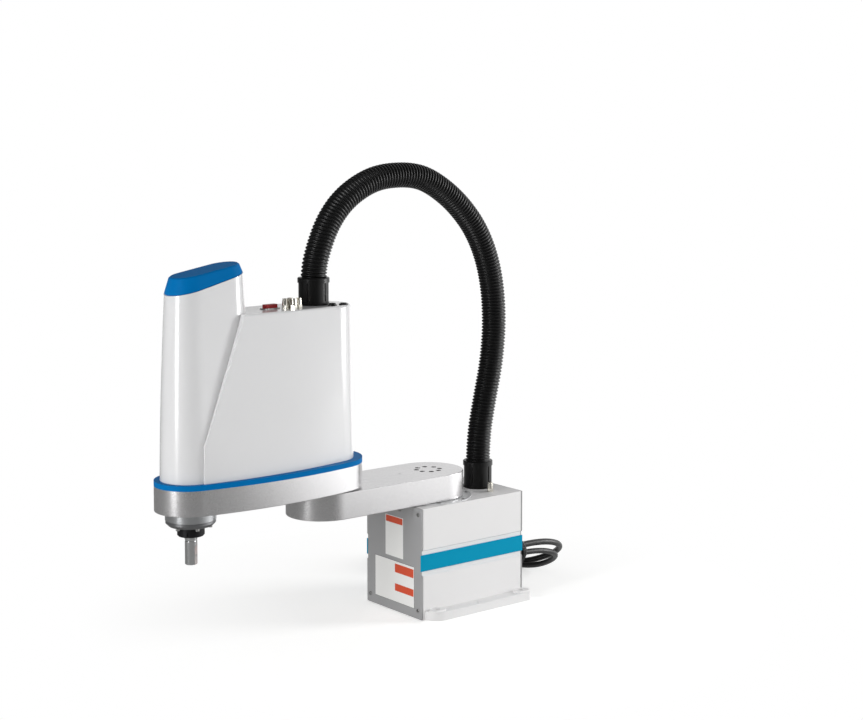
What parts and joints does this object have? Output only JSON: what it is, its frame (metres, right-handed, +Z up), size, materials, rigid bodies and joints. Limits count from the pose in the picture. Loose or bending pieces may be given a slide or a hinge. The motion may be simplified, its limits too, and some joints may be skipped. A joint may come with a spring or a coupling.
{
  "type": "scara robot",
  "caption": "Four-axis SCARA robot arm: box base, two horizontal links, tall covered second link with a ball screw spline quill, and an arched conduit.",
  "frame": {"origin": "first joint's axis, on the mounting surface under the base", "axes": "+Z up along the first joint's axis, both links point along -X at rest, +X is the rear with the cables, -Y is the side in the picture"},
  "size_m": [0.8744, 0.3778, 0.7941],
  "materials": {
    "painted_base": "satin",
    "painted_arm": "satin",
    "panel_grey": "satin",
    "cover_white": "gloss",
    "trim_blue": "gloss",
    "trim_cyan": "gloss",
    "machined": "machined",
    "steel": "machined",
    "polished": "polished",
    "dark_steel": "blackened",
    "black_plastic": "matte",
    "hose_black": "matte",
    "cable_jacket": "matte",
    "belt_rubber": "matte",
    "motor_black": "satin",
    "nickel": "nickel plated",
    "red_plastic": "matte"
  },
  "bodies": {
    "base": {"base_casting": "painted_base", "front_panel": "panel_grey", "rear_panel": "panel_grey", "base_screws": "steel", "side_strip_right": "trim_cyan", "side_strip_left": "trim_cyan", "j1_ring": "machined", "j1_reducer": "steel", "j1_motor": "motor_black", "base_hose_fitting": "black_plastic", "base_air_fitting": "nickel", "cable_gland": "black_plastic", "rear_connector": "steel", "power_cable": "cable_jacket", "power_coil": "cable_jacket", "power_tail": "cable_jacket", "power_plug": "black_plastic", "signal_cable": "cable_jacket", "signal_coil": "cable_jacket", "signal_tail": "cable_jacket", "signal_plug": "black_plastic", "hose_lower": "hose_black"},
    "arm_1": {"arm_1_casting": "painted_arm", "arm_1_cover": "panel_grey", "j1_output_flange": "steel", "j1_screws": "dark_steel", "j2_reducer": "steel"},
    "arm_2": {"arm_2_casting": "painted_arm", "j2_output_flange": "steel", "j2_motor": "motor_black", "cover_gasket": "trim_blue", "main_cover": "cover_white", "tower_cover": "cover_white", "tower_cap": "trim_blue", "arm_hose_fitting": "black_plastic", "arm_air_fittings": "nickel", "arm_connector": "steel", "connector_cap": "red_plastic", "button_bezel": "black_plastic", "quill_flange": "machined", "quill_ring": "dark_steel", "quill_screws": "dark_steel", "spline_bearing": "steel", "screw_bearing": "steel", "motor_bracket": "machined", "spin_motor": "motor_black", "z_motor": "motor_black", "spin_belt": "belt_rubber", "z_belt": "belt_rubber", "hose_upper": "hose_black"},
    "spindle": {"spline_nut": "steel", "lock_nut": "dark_steel"},
    "screw": {"screw_nut": "steel"},
    "shaft": {"quill_shaft": "polished", "stop_collar": "dark_steel"},
    "z_pulley": {"z_motor_pulley": "machined"},
    "spin_pulley": {"spin_motor_pulley": "machined"},
    "brake_button": {"brake_button": "black_plastic"}
  },
  "joints": [
    {"name": "j1", "type": "hinge", "parent": "base", "child": "arm_1", "pos_m": [0, 0, 0.2], "axis": [0, 0, 1], "range_deg": [-120, 120], "deforming": ["hose_lower"]},
    {"name": "j2", "type": "hinge", "parent": "arm_1", "child": "arm_2", "pos_m": [-0.23, 0, 0.249], "axis": [0, 0, 1], "range_deg": [-118.8, 111.2], "deforming": ["hose_upper"]},
    {"name": "spindle_spin", "type": "hinge", "parent": "arm_2", "child": "spindle", "pos_m": [-0.49941, -0.01789, 0.27], "axis": [0, 0, 1], "range_deg": [-360, 360]},
    {"name": "z_drive", "type": "hinge", "parent": "arm_2", "child": "screw", "pos_m": [-0.49941, -0.01789, 0.36], "axis": [0, 0, 1], "range_deg": [0, 2701.8]},
    {"name": "quill_slide", "type": "slide", "parent": "spindle", "child": "shaft", "axis": [0, 0, -1], "range_m": [0, 0.15]},
    {"name": "z_pulley_spin", "type": "hinge", "parent": "arm_2", "child": "z_pulley", "pos_m": [-0.40641, 0.01534, 0.35], "axis": [0, 0, 1], "range_deg": [0, 5404]},
    {"name": "spin_pulley_spin", "type": "hinge", "parent": "arm_2", "child": "spin_pulley", "pos_m": [-0.40283, -0.03854, 0.308], "axis": [0, 0, 1], "range_deg": [-720, 720]},
    {"name": "brake_release", "type": "slide", "parent": "arm_2", "child": "brake_button", "axis": [0, 0, -1], "range_m": [0, 0.0025], "stiffness_N_per_m": 400, "springref_m": -0.002}
  ],
  "couplings": [
    {"joint": "z_drive", "follows": "quill_slide", "rad_per_m": 314.16},
    {"joint": "z_pulley_spin", "follows": "quill_slide", "rad_per_m": 628.32},
    {"joint": "spin_pulley_spin", "follows": "spindle_spin", "ratio": 2}
  ]
}
